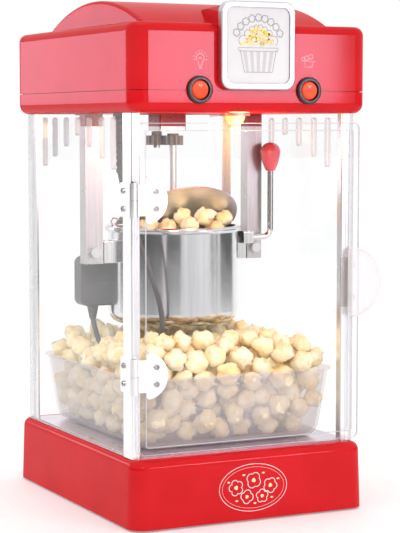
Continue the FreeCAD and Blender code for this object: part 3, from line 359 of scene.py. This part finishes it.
class Artwork:
    """Printed marks on a flat face: drawn in millimetres on a plane with its own origin, right and up."""

    def __init__(self, origin, right, up, body, slot, lift):
        self.right, self.up = Vector(right).normalized(), Vector(up).normalized()
        self.out = self.right.cross(self.up)
        self.origin = Vector(origin) + self.out * lift
        self.body, self.slot = body, slot

    def matrix(self):
        turn = Matrix((self.right, self.up, self.out)).transposed().to_4x4()
        return Matrix.Translation(self.origin) @ turn

    def draw(self, name, outlines, finish, line=None):
        """Filled shapes, or strokes `line` millimetres wide.

        Each outline is its (x, y) points and whether it is closed.
        """
        curve = bpy.data.curves.new(name, "CURVE")
        curve.dimensions = "3D" if line else "2D"
        if line:
            curve.bevel_depth = line / 2 * MM
            curve.bevel_resolution = 1
        else:
            curve.fill_mode = "BOTH"
            curve.extrude = FILM
        for points, closed in outlines:
            spline = curve.splines.new("POLY")
            spline.points.add(len(points) - 1)
            for spot, (x, y) in zip(spline.points, points):
                spot.co = (x * MM, y * MM, 0, 1)
            spline.use_cyclic_u = closed
        obj = new_object(name, curve)
        curve.materials.append(MATERIALS[finish])
        obj.matrix_world = self.matrix()
        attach(obj, self.body)


def arc(cx, cy, rx, ry, start=0, end=360, steps=40):
    closed = end - start == 360
    count = steps if closed else steps + 1
    turn = [math.radians(start + (end - start) * i / steps) for i in range(count)]
    return [(cx + rx * math.cos(a), cy + ry * math.sin(a)) for a in turn]


def puff(cx, cy, size, lobes, turn=0.0):
    """The outline of one popped kernel: a ring of round lobes."""
    hollow, fullness, swell = 0.22, 0.6, 1.4
    points = []
    for i in range(lobes * POINTS_PER_LOBE):
        a = 2 * math.pi * i / (lobes * POINTS_PER_LOBE)
        r = size * (1 - hollow + hollow * abs(math.sin(lobes * a / 2 + turn)) ** fullness * swell)
        points.append((cx + r * math.cos(a + turn), cy + r * math.sin(a + turn)))
    return points


def rounded(half_w, half_h, radius):
    """A rectangle's outline with round corners, about its own middle."""
    points = []
    for sx, sy, start in ((1, 1, 0), (-1, 1, 90), (-1, -1, 180), (1, -1, 270)):
        corner = sx * (half_w - radius), sy * (half_h - radius)
        points.extend(arc(*corner, radius, radius, start, start + 90, 6))
    return points


# ---------------------------------------------------------------- popcorn
CORE = 0.66      # radius of a unit kernel's middle
CRINKLE = 0.03   # how far its skin wanders
KINDS = 9        # different kernels in one heap
TRIES = 36       # places tried for each kernel of a heap
NEST = 0.84      # how close two kernels come, as a share of their two radii
WALL_GAP = 0.74  # how close a kernel comes to a wall, as a share of its radius


def any_way(rng):
    return Vector((rng.gauss(0, 1), rng.gauss(0, 1), rng.gauss(0, 1)))


def kernel_shape(rng):
    """Unit popcorn: one skin round a bunch of balls, large ones first and small ones on top, crinkled."""
    bm = bmesh.new()
    bmesh.ops.create_icosphere(bm, subdivisions=3, radius=1.0)
    dirs = np.array([v.co[:] for v in bm.verts])
    dirs /= np.linalg.norm(dirs, axis=1)[:, None]
    faces = [[v.index for v in f.verts] for f in bm.faces]
    bm.free()
    radius = np.full(len(dirs), CORE)
    # how many balls, how far out they sit, and their radius
    bunches = (
        (rng.randint(7, 10), (0.38, 0.50), (0.42, 0.50)),
        (rng.randint(14, 20), (0.74, 0.84), (0.13, 0.20)),
    )
    for count, away, size in bunches:
        for _ in range(count):
            heading = np.array(any_way(rng).normalized()[:])
            far, ball = rng.uniform(*away), rng.uniform(*size)
            along = dirs @ heading * far
            inside = along ** 2 - far ** 2 + ball ** 2
            reach = np.where((inside > 0) & (along > 0), along + np.sqrt(np.maximum(inside, 0)), 0)
            radius = np.maximum(radius, reach)
    offset = Vector((rng.uniform(0, 50), rng.uniform(0, 50), rng.uniform(0, 50)))
    crinkle = np.array([noise.fractal(Vector(d) * 3.2 + offset, 0.7, 2.1, 3) for d in dirs])
    points = dirs * (radius + CRINKLE * crinkle)[:, None]
    points *= np.array([rng.uniform(0.88, 1.08) for _ in range(3)])
    return points / np.abs(points).max(), faces


def heap(name, spots, body, seed):
    """One mesh of popcorn from (centre, radius) spots in metres."""
    rng = random.Random(seed)
    shapes = [kernel_shape(rng) for _ in range(KINDS)]
    verts, faces = [], []
    for spot, radius in spots:
        points, tris = shapes[rng.randrange(len(shapes))]
        turn = Matrix.Rotation(rng.uniform(0, 6.28), 3, any_way(rng))
        placed = points @ np.array(turn).T * radius + np.array(spot)
        base = sum(len(v) for v in verts)
        verts.append(placed)
        faces.extend([[base + i for i in tri] for tri in tris])
    mesh = bpy.data.meshes.new(name)
    mesh.from_pydata(np.concatenate(verts).tolist(), [], faces)
    mesh.shade_smooth()
    mesh.materials.append(MATERIALS["popcorn"])
    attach(new_object(name, mesh), body)


def settle(rng, count, radius, inside, top, floor, fits=lambda x, y, z, r: True):
    """Drop balls one by one, each to the lowest resting place among random tries, under the mound's top."""
    placed = np.zeros((0, 4))
    for _ in range(count):
        r = rng.uniform(*radius)
        best = None
        for _ in range(TRIES):
            x, y = inside(rng, r)
            z = floor + r
            if len(placed):
                flat = np.hypot(placed[:, 0] - x, placed[:, 1] - y)
                reach = (placed[:, 3] + r) * NEST
                near = flat < reach
                if near.any():
                    z = max(z, (placed[near, 2] + np.sqrt(reach[near] ** 2 - flat[near] ** 2)).max())
            if z + r > top(x, y) or not fits(x, y, z, r):
                continue
            if best is None or z < best[2]:
                best = (x, y, z, r)
        if best:
            placed = np.vstack([placed, best])
    return [(tuple(p[:3]), p[3]) for p in placed]


tray_low, tray_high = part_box("popcorn_tray")
TRAY_WALL_LEAN, TRAY_LIP, TRAY_T = 8.5 * MM, 2.2 * MM, 1.8 * MM
TRAY_CORNER = 3 * MM            # room that the round corners take
TRAY_KERNEL = (10 * MM, 13 * MM)
MOUND_EDGE, MOUND_RISE = 19 * MM, 24 * MM
KETTLE_MID = centre("kettle_shell")
KETTLE_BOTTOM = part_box("kettle_shell")[0].z
UNDER_KETTLE, UNDER_GAP = 72 * MM, 3 * MM
SEEN_FROM_SIDE, SEEN_FROM_TOP = 42 * MM, 48 * MM


def tray_spot(rng, r):
    edge = TRAY_LIP + TRAY_T + WALL_GAP * r
    x = rng.uniform(tray_low.x + edge, tray_high.x - edge)
    return x, rng.uniform(tray_low.y + edge, tray_high.y - edge)


def tray_fits(x, y, z, r):
    """Clear of the leaning walls and of the round corners."""
    depth = max(0.0, (tray_high.z - z) / (tray_high.z - tray_low.z))
    inset = TRAY_LIP + TRAY_T + TRAY_WALL_LEAN * depth + WALL_GAP * r
    room_x = min(x - tray_low.x, tray_high.x - x) - inset
    room_y = min(y - tray_low.y, tray_high.y - y) - inset
    return min(room_x, room_y) > 0 and room_x + room_y > TRAY_CORNER


def mound_top(x, y):
    """The heap's height: level near the rim, higher towards the middle, never touching the kettle."""
    mid = (tray_low + tray_high) / 2
    half = (tray_high - tray_low) / 2
    fall = max(abs(x - mid.x) / half.x, abs(y - mid.y) / half.y)
    lift = MOUND_RISE * (1 - fall ** 3)
    height = tray_high.z + MOUND_EDGE + lift
    under = math.hypot(x - KETTLE_MID.x, y - KETTLE_MID.y) < UNDER_KETTLE
    return min(height, KETTLE_BOTTOM - UNDER_GAP) if under else height


def shows(spot):
    """True for popcorn near the tray's walls or near the top of the heap; what lies deeper is never seen."""
    x, y, z = spot
    to_wall = min(x - tray_low.x, tray_high.x - x, y - tray_low.y, tray_high.y - y)
    return to_wall < SEEN_FROM_SIDE or z > mound_top(x, y) - SEEN_FROM_TOP


tray_fill = settle(random.Random(11), 700, TRAY_KERNEL, tray_spot, mound_top, tray_low.z + TRAY_T, tray_fits)
heap("tray_popcorn", [(spot, radius) for spot, radius in tray_fill if shows(spot)], "tray", 21)

pan_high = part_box("kettle_pan")[1]
lid_axis = Vector(next(j for j in frame["joints"] if j["name"] == "lid_hinge")["pos_m"])
LID_OPEN = math.radians(36)
LID_GAP = 5 * MM                 # between the popcorn and the raised flap
KETTLE_R = 60 * MM
KETTLE_KERNEL = (9.5 * MM, 12 * MM)
BEHIND_FLAP = 8 * MM             # how far in front of the kettle's middle the open half begins
CROWN, CROWN_FALL = 22 * MM, 0.20
KETTLE_FILL = 44 * MM            # how deep below the pan's rim the popcorn starts


def kettle_spot(rng, r):
    a, d = rng.uniform(0, 2 * math.pi), (KETTLE_R - r) * math.sqrt(rng.random())
    return KETTLE_MID.x + d * math.cos(a), min(KETTLE_MID.y + d * math.sin(a), KETTLE_MID.y - BEHIND_FLAP - r)


def kettle_top(x, y):
    """Room under the raised flap."""
    flap = lid_axis.z + (lid_axis.y - y) * math.tan(LID_OPEN) - LID_GAP
    aside = abs(x - KETTLE_MID.x)
    return min(flap, pan_high.z + CROWN - CROWN_FALL * aside * aside / KETTLE_R)


kettle_fill = settle(random.Random(5), 60, KETTLE_KERNEL, kettle_spot, kettle_top, pan_high.z - KETTLE_FILL)
heap("kettle_popcorn", kettle_fill, "kettle", 33)


# ---------------------------------------------------------------- kettle lead
LEAD_R = 0.0025
LEAD_POINTS = [
    (-0.094, -0.060, 0.314), (-0.091, -0.066, 0.286), (-0.083, -0.073, 0.254), (-0.070, -0.077, 0.219),
    (-0.058, -0.073, 0.186), (-0.052, -0.060, 0.160), (-0.056, -0.040, 0.142), (-0.068, -0.016, 0.134),
    (-0.076, 0.012, 0.137), (-0.078, 0.033, 0.150), (-0.078, 0.044, 0.170),
]


def nurbs(name, points, radius=0.0):
    curve = bpy.data.curves.new(name, "CURVE")
    curve.dimensions = "3D"
    curve.resolution_u = 12
    curve.bevel_depth = radius
    curve.bevel_resolution = 5
    spline = curve.splines.new("NURBS")
    spline.points.add(len(points) - 1)
    for spot, point in zip(spline.points, points):
        spot.co = (*point, 1)
    spline.order_u = 3
    spline.use_endpoint_u = True
    return new_object(name, curve)


def mesh_of(obj):
    bpy.context.view_layer.update()
    mesh = bpy.data.meshes.new_from_object(obj.evaluated_get(bpy.context.evaluated_depsgraph_get()))
    bpy.data.objects.remove(obj)
    return mesh


lead_path = [v.co.copy() for v in mesh_of(nurbs("lead_line", LEAD_POINTS)).vertices]
lead_mesh = mesh_of(nurbs("lead_tube", LEAD_POINTS, LEAD_R))
lead_mesh.shade_smooth()
lead = new_object("kettle_flex", lead_mesh)
lead_mesh.materials.clear()
lead_mesh.materials.append(MATERIALS["cord"])
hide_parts("kettle_lead")
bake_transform(lead)


# ---------------------------------------------------------------- printed marks, in millimetres
RIGHT, UPRIGHT = (1, 0, 0), (0, 0, 1)
TUB_TOP_HALF, TUB_TAPER = 18.5, 4.5
TUB_RIM, TUB_HEIGHT = -2.0, 21.5
TUB_TOP = 0.1            # where the tub's sides start, under its rim band
STRIPES, STRIPE_STEP, STRIPE_WIDTH, FIRST_STRIPE, STRIPE_TOP = 5, 0.38, 0.20, -0.86, 0.14
CLOUD_HALF, CLOUD_FOOT, CLOUD_TOP, CLOUD_BEND, CLOUD_PUFFS = 16.5, 0.5, 15.5, 0.052, 110
CREST, CREST_HALF, CREST_BOWS = 17.5, 17.2, 9

sign_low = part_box("sign_panel")[0]
sign_mid = centre("sign_panel")
sign = Artwork((sign_mid.x, sign_low.y, sign_mid.z), RIGHT, UPRIGHT, "cabinet", "sign_face", 0.03 * MM)


def tub_edge(side, drop):
    """A point on the tub's slanted side: side -1 to 1, drop 0 at the rim to 1 at the foot."""
    half = TUB_TOP_HALF - TUB_TAPER * drop
    return side * half, TUB_RIM - TUB_HEIGHT * drop


stripes = []
for i in range(STRIPES):
    left = FIRST_STRIPE + i * STRIPE_STEP
    right = left + STRIPE_WIDTH
    corners = ((left, STRIPE_TOP), (right, STRIPE_TOP), (right, 1), (left, 1))
    stripes.append(([tub_edge(side, drop) for side, drop in corners], True))
sign.draw("tub_stripes", stripes, "pale_ink")
tub_sides = [tub_edge(side, drop) for side, drop in ((-1, TUB_TOP), (-1, 1), (1, 1), (1, TUB_TOP))]
rim_band = [(-20, -2), (20, -2), (19.4, -5), (-19.4, -5)]
sign.draw("tub_outline", [(tub_sides, False), (rim_band, True)], "grey_ink", 0.6)
art_rng = random.Random(3)
cloud = [(art_rng.uniform(-CLOUD_HALF, CLOUD_HALF), art_rng.uniform(CLOUD_FOOT, CLOUD_TOP))
         for _ in range(CLOUD_PUFFS)]
cloud = [(x, y) for x, y in cloud if y < CLOUD_TOP - CLOUD_BEND * x * x]
for tone, start in (("lemon_ink", 0), ("butter_ink", 1)):
    sign.draw(tone + "_puffs", [(puff(x, y, art_rng.uniform(1.3, 2.2), 4, art_rng.uniform(0, 3)), True)
                                for x, y in cloud[start::2]], tone)
crest = [(x, -1.0 + CREST * math.cos(x / CREST * math.pi / 2) ** 0.7)
         for x in np.linspace(-CREST_HALF, CREST_HALF, CREST_BOWS)]
rim = []
for (x0, y0), (x1, y1) in zip(crest, crest[1:]):
    bow = math.hypot(x1 - x0, y1 - y0) / 2
    heading = math.degrees(math.atan2(y1 - y0, x1 - x0))
    rim.extend(arc((x0 + x1) / 2, (y0 + y1) / 2, bow, bow, heading + 180, heading, 8))
sign.draw("cloud_outline", [(rim, False)], "grey_ink", 0.6)
ring = []
for t in range(-60, 61, 15):
    lean = math.radians(t)
    ring.append((puff(25 * math.sin(lean), -2.5 + 27 * math.cos(lean), 3.1, 5, t), True))
sign.draw("sign_puffs", ring, "grey_ink", 0.8)

base_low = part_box("base_shell")[0]
BASE_DRAFT = 1.5 / 61.3  # how far the base's front leans back for each unit of height
EMBLEM_Z = 30.5 * MM
emblem_y = base_low.y + BASE_DRAFT * (EMBLEM_Z - base_low.z)
emblem = Artwork((0, emblem_y, EMBLEM_Z), RIGHT, (0, BASE_DRAFT, 1), "cabinet", "red_paint", 0.05 * MM)
emblem.draw("emblem_ring", [(arc(0, 0, 34.5, 21.5, steps=72), True)], "white_ink", 0.55)
emblem.draw("emblem_inner_ring", [(arc(0, 0, 31.5, 18.7, steps=72), True)], "pink_ink", 0.3)
# each kernel's place, size and number of lobes
kernels = [
    (-17.5, 1.0, 6.6, 5), (0.5, 6.5, 6.8, 4), (17.5, 0.5, 6.4, 5), (-6.5, -8.0, 5.8, 4), (9.0, -8.5, 5.6, 5),
]
emblem.draw("emblem_kernels", [(puff(x, y, s, n, 0.4 * i), True) for i, (x, y, s, n) in enumerate(kernels)],
            "white_ink", 0.75)
emblem.draw("emblem_hearts", [(puff(x, y, s * 0.28, 3, i), True) for i, (x, y, s, n) in enumerate(kernels)],
            "gold_ink")
drops = [(-25, 6.5), (-9.5, 12), (10.5, 12.5), (25.5, 6), (-17, -11), (1.5, -14.5), (19, -10.5)]
emblem.draw("emblem_drops", [(arc(x, y, 1.5, 0.8, steps=14), True) for x, y in drops], "gold_ink")

header_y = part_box("header_cover")[0].y
BULB_MID, RAY_NEAR, RAY_FAR = 2, 5.2, 6.8


def face_marks(name, x, z, outlines):
    art = Artwork((x, header_y, z), RIGHT, UPRIGHT, "cabinet", "red_paint", 0.03 * MM)
    art.draw(name, outlines, "pink_ink", 0.5)


def ray(degrees):
    c, s = math.cos(math.radians(degrees)), math.sin(math.radians(degrees))
    return [(c * RAY_NEAR, BULB_MID + s * RAY_NEAR), (c * RAY_FAR, BULB_MID + s * RAY_FAR)], False


bulb = [
    (arc(0, BULB_MID, 3.8, 3.8, -60, 240) + [(-1.6, -4.5), (1.6, -4.5)], True),
    ([(-1.5, -6), (1.5, -6)], False),
    ([(-1, -7.3), (1, -7.3)], False),
    ([(-1.2, 1), (0, 3), (1.2, 1)], False),
]
face_marks("lamp_mark", -54 * MM, 414.5 * MM, [ray(degrees) for degrees in range(-15, 196, 30)] + bulb)
pot = [
    ([(-4, 0), (5, 0), (4.2, -5), (-3.2, -5)], True),
    ([(5, -1), (7.2, 0)], False),
    (puff(-1.5, 3.0, 2.0, 4), True),
    (puff(2.6, 4.2, 2.2, 5), True),
    (puff(-5.2, 2.2, 1.6, 4), True),
]
face_marks("kettle_mark", 54.5 * MM, 415 * MM, pot)

ROCKER_TILT, ROCKER_SINK = math.radians(10), 1.6 * MM
for node, body in (("rocker_left", "light_switch"), ("rocker_right", "kettle_switch")):
    mid = centre(node)
    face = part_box(node)[0].y + ROCKER_SINK
    marks = Artwork((mid.x, face, mid.z), RIGHT, (0, math.sin(ROCKER_TILT), math.cos(ROCKER_TILT)), body,
                    "rocker_red", 0.15 * MM)
    marks.draw(node + "_marks", [(arc(0, 4.4, 1.3, 1.3, steps=18), True), ([(0, -3.2), (0, -5.8)], False)],
               "white_ink", 0.45)

# painted highlight lines for the light that the door's milled groove and cut edge catch, and the line round
# the sign's face
door_low, door_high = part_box("door_panel")
door_mid = centre("door_panel")
door_w, door_h = (door_high.x - door_low.x) / 2 / MM, (door_high.z - door_low.z) / 2 / MM
GROOVE_INSET, EDGE_INSET = 7.1, 0.5
door_lines = Artwork((door_mid.x, door_low.y, door_mid.z), RIGHT, UPRIGHT, "door", "clear_panel", 0.1 * MM)
door_lines.draw("door_groove_glint", [(rounded(door_w - GROOVE_INSET, door_h - GROOVE_INSET, 2.5), True)],
                "painted_glint_line", 0.7)
door_lines.draw("door_edge_glint", [(rounded(door_w - EDGE_INSET, door_h - EDGE_INSET, 5.5), True)],
                "painted_glint_line", 0.6)
SIGN_HALF_W, SIGN_HALF_H, SIGN_RIM = 37, 38.9, 5.2
sign_lines = Artwork((sign_mid.x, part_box("sign_frame")[0].y, sign_mid.z), RIGHT, UPRIGHT, "cabinet",
                     "sign_silver", 0.02 * MM)
sign_lines.draw("sign_rim_line", [(rounded(SIGN_HALF_W - SIGN_RIM, SIGN_HALF_H - SIGN_RIM, 6.5), True)],
                "pale_ink", 0.7)


# ---------------------------------------------------------------- floor, light and camera
TABLE_HALF, TABLE_Z = 15.0, -0.0005
FLAG_AWAY, FLAG_TOP, FLAG_STEPS = 2.0, 0.42, 12


def staged(name, verts, faces, color, rough, **surface):
    """Part of the set: a floor or a wall."""
    mesh = bpy.data.meshes.new(name)
    mesh.from_pydata(verts, [], faces)
    n = Nodes(name + "_surface")
    mesh.materials.append(n.finish(n.principled(
        Base_Color=color, Roughness=n.ramp(n.noise(0.3), *rough), **surface)))
    obj = new_object(name, mesh)
    return obj


table_corners = [(sx * TABLE_HALF, sy * TABLE_HALF, 0) for sx, sy in ((-1, -1), (1, -1), (1, 1), (-1, 1))]
table = staged("table", table_corners, [(0, 1, 2, 3)], (0.88, 0.88, 0.88), (0.55, 0.7),
               Emission_Color=(1, 1, 1), Emission_Strength=0.17)
table.location.z = TABLE_Z


def flag(name, start, end, shade):
    """A curved wall round the set between two bearings, in degrees from +X, which only reflections see."""
    bearings = [math.radians(start + (end - start) * i / FLAG_STEPS) for i in range(FLAG_STEPS + 1)]
    verts = [(FLAG_AWAY * math.cos(a), FLAG_AWAY * math.sin(a), z) for a in bearings for z in (0.0, FLAG_TOP)]
    faces = [(2 * i, 2 * i + 2, 2 * i + 3, 2 * i + 1) for i in range(FLAG_STEPS)]
    obj = staged(name, verts, faces, (shade, shade, shade), (0.8, 0.95), Specular_IOR_Level=0.0)
    obj.visible_camera = False
    obj.visible_shadow = False
    obj.visible_diffuse = False


flag("left_flag", 139, 258, 0.10)
flag("grey_flag", -48, -30, 0.35)
flag("right_flag", -26, 12, 0.08)


def light(name, kind, place, energy, color):
    data = bpy.data.lights.new(name, kind)
    data.energy = energy
    data.color = color
    obj = new_object(name, data)
    obj.location = place
    return obj


def aim(obj, target):
    direction = Vector(target) - obj.location
    obj.rotation_euler = direction.to_track_quat("-Z", "Y").to_euler()


def softbox(name, place, target, size, energy, color=(1, 1, 1)):
    obj = light(name, "AREA", place, energy, color)
    obj.data.shape = "RECTANGLE"
    obj.data.size, obj.data.size_y = size
    obj.visible_camera = False
    aim(obj, target)


softbox("left_box", (-0.74, 1.25, 0.483), (-0.12, 0, 0.45), (0.55, 0.195), 1.35, (1.0, 0.72, 0.92))
softbox("front_box", (0.60, -1.33, 0.465), (0, -0.14, 0.44), (0.34, 0.15), 2.7, (1.0, 0.74, 0.95))
softbox("top_box", (-0.1, -0.1, 1.6), (0, 0, 0.3), (0.8, 0.8), 2)

beam = light("popcorn_beam", "SPOT", (-0.62, -1.25, 0.80), 45, (1.0, 0.97, 0.92))
beam.data.spot_size = math.radians(15)
beam.data.spot_blend = 1.0
beam.data.shadow_soft_size = 0.12
aim(beam, (0, 0, 0.16))

BULB_FRONT, BULB_BELOW = 0.016, 0.004
lamp_mid = centre("lamp_bulb")
lamp_place = (lamp_mid.x, lamp_mid.y - BULB_FRONT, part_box("lamp_bulb")[0].z - BULB_BELOW)
lamp_glow = light("lamp_glow", "POINT", lamp_place, 0.3, (1.0, 0.55, 0.2))
lamp_glow.data.shadow_soft_size = 0.01

world = bpy.data.worlds.new("studio")
bpy.context.scene.world = world
world.use_nodes = True
world.node_tree.nodes["Background"].inputs["Color"].default_value = (1.0, 1.0, 1.0, 1)
world.node_tree.nodes["Background"].inputs["Strength"].default_value = 1.0

CAMERA_PLACE = (-0.7424, -1.5309, 0.3582)
CAMERA_YAW, CAMERA_DOWN = 26.38, 4.61
CAMERA_LENS, CAMERA_SENSOR = 118.8135084, 36  # mm
camera_data = bpy.data.cameras.new("camera")
camera_data.sensor_width = CAMERA_SENSOR
camera_data.lens = CAMERA_LENS
camera = new_object("camera", camera_data)
camera.location = CAMERA_PLACE
camera.rotation_euler = (math.radians(90 - CAMERA_DOWN), 0, -math.radians(CAMERA_YAW))
bpy.context.scene.camera = camera
bpy.context.scene.view_settings.view_transform = "Standard"
